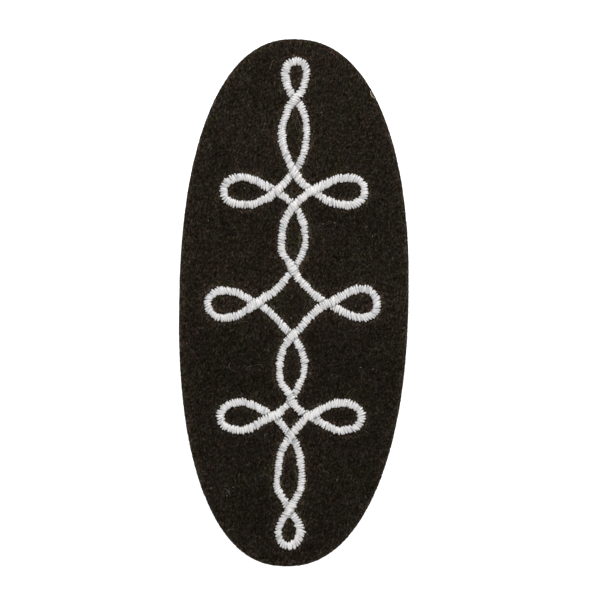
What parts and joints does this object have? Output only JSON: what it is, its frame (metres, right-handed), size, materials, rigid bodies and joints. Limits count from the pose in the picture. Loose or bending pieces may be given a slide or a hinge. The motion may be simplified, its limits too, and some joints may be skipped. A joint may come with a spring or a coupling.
{
  "type": "embroidered patch",
  "caption": "Oval patch of thick dark milled wool with a raised, symmetric looped knot in white satin stitch.",
  "frame": {"origin": "middle of the flat back face", "axes": "+Z out of the embroidered front, +Y along the oval's length towards the crown of the knot, +X to the right as seen from the front"},
  "size_m": [0.0386, 0.089, 0.0029],
  "materials": {
    "milled_wool": "matte, short nap, raw cut edge",
    "white_thread": "soft satin sheen"
  },
  "bodies": {
    "root": {"wool_ground": "milled_wool", "crown_right_run": "white_thread", "upper_right_run": "white_thread", "lower_right_run": "white_thread", "foot_right_run": "white_thread", "crown_left_run": "white_thread", "upper_left_run": "white_thread", "lower_left_run": "white_thread", "foot_left_run": "white_thread"}
  },
  "joints": []
}
